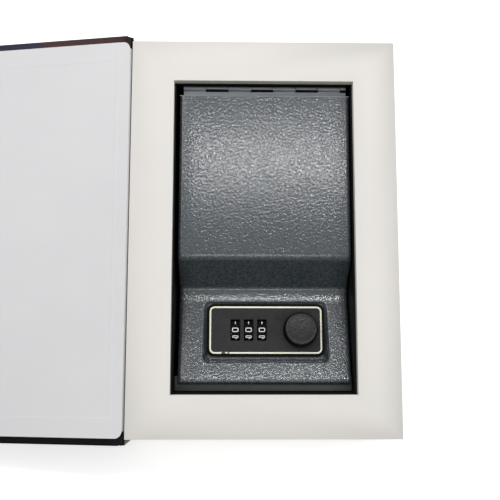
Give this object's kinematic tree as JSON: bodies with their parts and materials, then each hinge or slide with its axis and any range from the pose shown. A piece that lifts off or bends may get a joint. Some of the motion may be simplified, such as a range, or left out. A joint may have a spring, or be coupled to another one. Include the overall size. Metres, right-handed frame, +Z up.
{
  "type": "book diversion safe",
  "caption": "Hollow hardback book with a steel box let into its pages, a hinged lid and a combination lock with a knob; the front cover is open.",
  "frame": {"origin": "centre of the back cover's underside, the face the book rests on", "axes": "+Z up out of the page face, +Y to the head of the book where the lid's hinge is, -X to the spine and the open front cover"},
  "size_m": [0.3178, 0.24, 0.0514],
  "materials": {
    "board": "grey binder's board",
    "cover_wrap": "dark laminated cover paper",
    "endpaper": "cool white endpaper, matt",
    "page_paper": "warm white book paper, matt",
    "lid_paint": "blue-grey hammered paint",
    "box_paint": "dark grey smooth paint",
    "black_plastic": "moulded black plastic",
    "lock_steel": "zinc plated sheet",
    "bright_steel": "bright turned steel",
    "lock_brass": "turned brass"
  },
  "bodies": {
    "book": {"back_board": "board", "spine_board": "board", "spine_lining": "page_paper", "case_wrap": "cover_wrap", "back_pastedown": "endpaper", "page_block": "page_paper", "front_flyleaf": "page_paper", "box_tray": "box_paint", "box_screw_1": "bright_steel", "box_screw_2": "bright_steel", "box_screw_3": "bright_steel", "box_screw_4": "bright_steel", "strike_rail": "box_paint", "box_hinge_leaf": "box_paint", "hinge_pin": "bright_steel"},
    "front_cover": {"front_board": "board", "front_wrap": "cover_wrap", "front_pastedown": "endpaper"},
    "lid": {"lid_panel": "lid_paint", "lock_plate": "black_plastic", "lock_screw_1": "bright_steel", "lock_screw_2": "bright_steel", "lock_screw_3": "bright_steel", "lock_screw_4": "bright_steel", "lock_case": "lock_steel", "wheel_axle": "bright_steel", "detent_spring": "lock_steel", "knob_bush": "lock_brass", "bush_nut": "lock_brass", "bolt_guide": "lock_steel"},
    "knob": {"knob": "black_plastic", "knob_spindle": "bright_steel", "crank_disc": "lock_steel"},
    "bolt": {"latch_bolt": "lock_steel", "code_fence": "lock_steel"},
    "wheel_1": {"number_wheel_1": "black_plastic", "code_sleeve_1": "lock_brass"},
    "wheel_2": {"number_wheel_2": "black_plastic", "code_sleeve_2": "lock_brass"},
    "wheel_3": {"number_wheel_3": "black_plastic", "code_sleeve_3": "lock_brass"},
    "code_reset": {"reset_slide": "lock_brass"}
  },
  "joints": [
    {"name": "cover_joint", "type": "hinge", "parent": "book", "child": "front_cover", "pos_m": [-0.0789, 0, 0.0516], "axis": [0, 1, 0], "range_deg": [-6.5, 191.2]},
    {"name": "lid_hinge", "type": "hinge", "parent": "book", "child": "lid", "pos_m": [0.0009, 0.08945, 0.0438], "axis": [1, 0, 0], "range_deg": [-95, 0]},
    {"name": "knob_turn", "type": "hinge", "parent": "lid", "child": "knob", "pos_m": [0.0226, -0.0548, 0.0271], "axis": [0, 0.0698, 0.9976], "range_deg": [0, 90]},
    {"name": "bolt_slide", "type": "slide", "parent": "lid", "child": "bolt", "axis": [0, -0.9976, 0.0698], "range_m": [0, 0.00509]},
    {"name": "wheel_1_turn", "type": "hinge", "parent": "lid", "child": "wheel_1", "pos_m": [-0.0165, -0.05525, 0.02072], "axis": [1, 0, 0], "continuous": true},
    {"name": "wheel_2_turn", "type": "hinge", "parent": "lid", "child": "wheel_2", "pos_m": [-0.0085, -0.05525, 0.02072], "axis": [1, 0, 0], "continuous": true},
    {"name": "wheel_3_turn", "type": "hinge", "parent": "lid", "child": "wheel_3", "pos_m": [-0.0005, -0.05525, 0.02072], "axis": [1, 0, 0], "continuous": true},
    {"name": "reset_travel", "type": "slide", "parent": "lid", "child": "code_reset", "axis": [1, 0, 0], "range_m": [0, 0.003]}
  ],
  "couplings": [
    {"joint": "knob_turn", "follows": "bolt_slide", "rad_per_m": 308.53}
  ]
}
